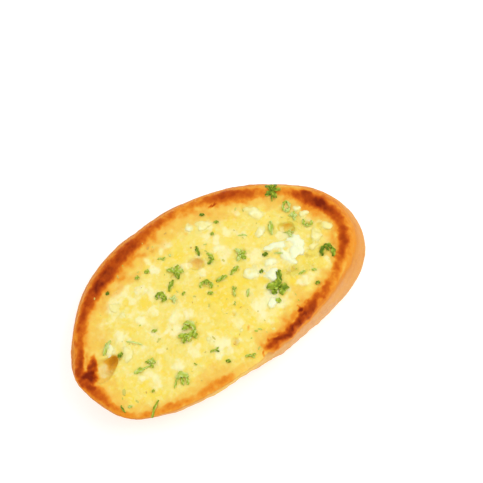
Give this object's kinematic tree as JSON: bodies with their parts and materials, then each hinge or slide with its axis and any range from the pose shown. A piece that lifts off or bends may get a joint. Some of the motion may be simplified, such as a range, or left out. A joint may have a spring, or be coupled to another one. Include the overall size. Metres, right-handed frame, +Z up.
{
  "type": "garlic bread slice",
  "caption": "Slanted oval slice of crusty bread, toasted along its rim and spread with garlic butter, minced garlic and chopped parsley.",
  "frame": {"origin": "middle of the lower cut face, on the surface that the slice lies on", "axes": "+X along the slice's length, +Y towards the loaf's domed top, +Z up, square to the cut faces"},
  "size_m": [0.1214, 0.0734, 0.0194],
  "materials": {
    "toast": "buttered yellow crumb with a browned rim and a golden crust, softly glossy where butter lies",
    "garlic": "moist creamy white minced garlic",
    "parsley": "crinkled green leaf"
  },
  "bodies": {
    "root": {"garlic_bread_slice": "toast"}
  },
  "joints": []
}
